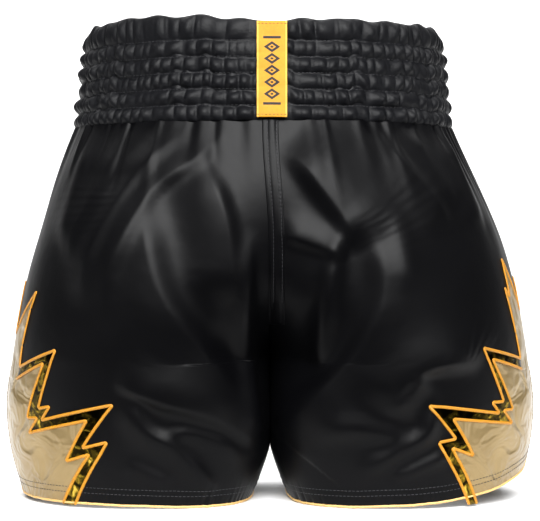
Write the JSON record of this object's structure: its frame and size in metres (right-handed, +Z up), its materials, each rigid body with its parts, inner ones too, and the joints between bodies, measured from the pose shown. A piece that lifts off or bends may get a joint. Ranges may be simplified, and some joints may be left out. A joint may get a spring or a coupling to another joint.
{
  "type": "boxing shorts",
  "caption": "Thai-cut boxing shorts in black satin with pale side panels, zigzag gold bolts, side vents and a gathered elastic waistband.",
  "frame": {"origin": "midway between the hems on the surface that the shorts stand on, centred on the outer box", "axes": "+Z up from hems to waist, +Y towards the wearer's front, +X towards the wearer's right, across the two legs"},
  "size_m": [0.4552, 0.228, 0.4],
  "materials": {
    "black_satin": "near-black polyester satin, soft sheen",
    "champagne_satin": "pale gold satin with a metallic sheen",
    "gold_foil": "mirror-gold laminated film on cloth",
    "gold_embroidery": "yellow-gold satin stitch, raised and glossy",
    "gold_binding": "pale gold woven binding, folded over the edge",
    "white_elastic": "woven-covered rubber elastic",
    "yellow_label": "gold-yellow woven damask label, satin face",
    "dark_thread": "polyester sewing thread",
    "black_waistband": "charcoal-black satin gathered over elastic rows",
    "black_tape": "overlocked seam allowance and facing, matt"
  },
  "bodies": {
    "root": {"bolt_border_back_left": "gold_embroidery", "bolt_border_back_right": "gold_embroidery", "bolt_border_front_left": "gold_embroidery", "bolt_border_front_right": "gold_embroidery", "bolt_foil_back_left": "gold_foil", "bolt_foil_back_right": "gold_foil", "bolt_foil_front_left": "gold_foil", "bolt_foil_front_right": "gold_foil", "crown_border_left": "gold_embroidery", "crown_border_right": "gold_embroidery", "crown_foil_left": "gold_foil", "crown_foil_right": "gold_foil", "elastic_1": "white_elastic", "elastic_2": "white_elastic", "elastic_3": "white_elastic", "elastic_4": "white_elastic", "elastic_5": "white_elastic", "elastic_6": "white_elastic", "front_seam_stitching": "dark_thread", "front_seam_tape": "black_tape", "hem_binding_left": "gold_binding", "hem_binding_right": "gold_binding", "hem_stitching_left": "dark_thread", "hem_stitching_right": "dark_thread", "inseam_tape_left": "black_tape", "inseam_tape_right": "black_tape", "label_stitching": "dark_thread", "main_panel_back_left": "black_satin", "main_panel_back_right": "black_satin", "main_panel_front_left": "black_satin", "main_panel_front_right": "black_satin", "seat_seam_stitching": "dark_thread", "seat_seam_tape": "black_tape", "side_panel_back_left": "champagne_satin", "side_panel_back_right": "champagne_satin", "side_panel_front_left": "champagne_satin", "side_panel_front_right": "champagne_satin", "side_seam_tape_left": "black_tape", "side_seam_tape_right": "black_tape", "vent_facing_left": "black_tape", "vent_facing_right": "black_tape", "waistband_label": "yellow_label", "waistband_lining": "black_waistband", "waistband_outer": "black_waistband", "waistband_stitching": "dark_thread"}
  },
  "joints": []
}
